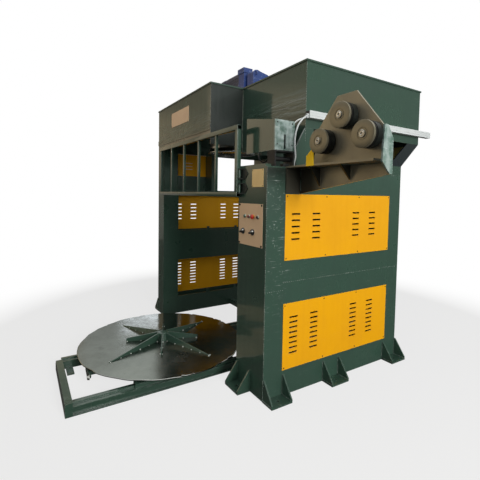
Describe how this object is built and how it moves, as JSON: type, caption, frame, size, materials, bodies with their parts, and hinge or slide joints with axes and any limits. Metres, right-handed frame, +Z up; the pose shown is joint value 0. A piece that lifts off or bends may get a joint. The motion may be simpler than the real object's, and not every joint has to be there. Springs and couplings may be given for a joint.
{
  "type": "wire drawing machine",
  "caption": "Portal-frame wire drawing machine with an inverted drum in a hood, guide rollers on a side arm, a barred gate and a run-out coil turntable.",
  "frame": {"origin": "centre of the four corner anchor holes, at the underside of the feet", "axes": "+X across the width towards the leg with the controls, +Y towards the back, +Z up"},
  "size_m": [3.385, 3.36, 2.997],
  "materials": {
    "green_paint": "gloss",
    "yellow_paint": "semi-gloss",
    "pale_green_paint": "worn satin",
    "blue_paint": "gloss",
    "dark_steel": "satin",
    "bare_steel": "satin",
    "white_plastic": "satin",
    "black_plastic": "gloss",
    "red_plastic": "gloss",
    "beige_plate": "brushed",
    "tan_plate": "satin",
    "cream_plate": "satin",
    "drum_steel": "polished"
  },
  "bodies": {
    "stand": {"right_side_plate": "green_paint", "right_inner_plate": "green_paint", "right_leg_ends": "green_paint", "left_side_plate": "green_paint", "left_inner_plate": "green_paint", "left_leg_ends": "green_paint", "right_upper_panel": "yellow_paint", "right_lower_panel": "yellow_paint", "left_upper_panel": "yellow_paint", "left_lower_panel": "yellow_paint", "left_top_panel": "yellow_paint", "left_upper_frame": "green_paint", "hood_walls": "green_paint", "hood_deck": "green_paint", "hood_braces": "green_paint", "rear_tie_beam": "green_paint", "anchor_feet": "green_paint", "arm_bracket": "green_paint", "roller_plate": "green_paint", "arm_end_plate": "pale_green_paint", "roller_axles": "bare_steel", "die_plate": "pale_green_paint", "die_holder": "dark_steel", "die_supports": "dark_steel", "ring_guide": "bare_steel", "arm_tab": "yellow_paint", "cable_trunking": "white_plastic", "cable_conduit": "white_plastic", "control_plate": "beige_plate", "push_buttons": "red_plastic", "label_plate": "tan_plate", "nameplate": "cream_plate", "gear_housing": "blue_paint", "drive_motor": "blue_paint", "drum_sleeve": "dark_steel", "gate_hinges": "dark_steel", "floor_rails": "green_paint"},
    "gate": {"gate": "green_paint"},
    "drum": {"drum": "drum_steel"},
    "roller_1": {"roller_1": "bare_steel"},
    "roller_2": {"roller_2": "bare_steel"},
    "roller_3": {"roller_3": "bare_steel"},
    "carriage": {"carriage": "green_paint"},
    "turntable": {"turntable": "green_paint"},
    "switch_left": {"rotary_switch_left": "black_plastic"},
    "switch_right": {"rotary_switch_right": "black_plastic"}
  },
  "joints": [
    {"name": "gate_hinge", "type": "hinge", "parent": "stand", "child": "gate", "pos_m": [0.87, -0.842, 1.7], "axis": [0, 0, 1], "range_deg": [0, 95]},
    {"name": "drum_spin", "type": "hinge", "parent": "stand", "child": "drum", "pos_m": [0, -0.401, 2.3], "axis": [0, 0, 1], "continuous": true},
    {"name": "roller_1_spin", "type": "hinge", "parent": "stand", "child": "roller_1", "pos_m": [1.589, -0.616, 1.972], "axis": [0, 1, 0], "continuous": true},
    {"name": "roller_2_spin", "type": "hinge", "parent": "stand", "child": "roller_2", "pos_m": [1.772, -0.616, 2.116], "axis": [0, 1, 0], "continuous": true},
    {"name": "roller_3_spin", "type": "hinge", "parent": "stand", "child": "roller_3", "pos_m": [1.955, -0.616, 1.972], "axis": [0, 1, 0], "continuous": true},
    {"name": "carriage_slide", "type": "slide", "parent": "stand", "child": "carriage", "axis": [0, 1, 0], "range_m": [0, 0.785]},
    {"name": "turntable_spin", "type": "hinge", "parent": "carriage", "child": "turntable", "pos_m": [0, -1.186, 0.11], "axis": [0, 0, 1], "continuous": true},
    {"name": "switch_left_turn", "type": "hinge", "parent": "stand", "child": "switch_left", "pos_m": [0.909, -0.819, 1.303], "axis": [0, -1, 0], "range_deg": [-45, 45]},
    {"name": "switch_right_turn", "type": "hinge", "parent": "stand", "child": "switch_right", "pos_m": [1.048, -0.819, 1.303], "axis": [0, -1, 0], "range_deg": [-45, 45]}
  ]
}
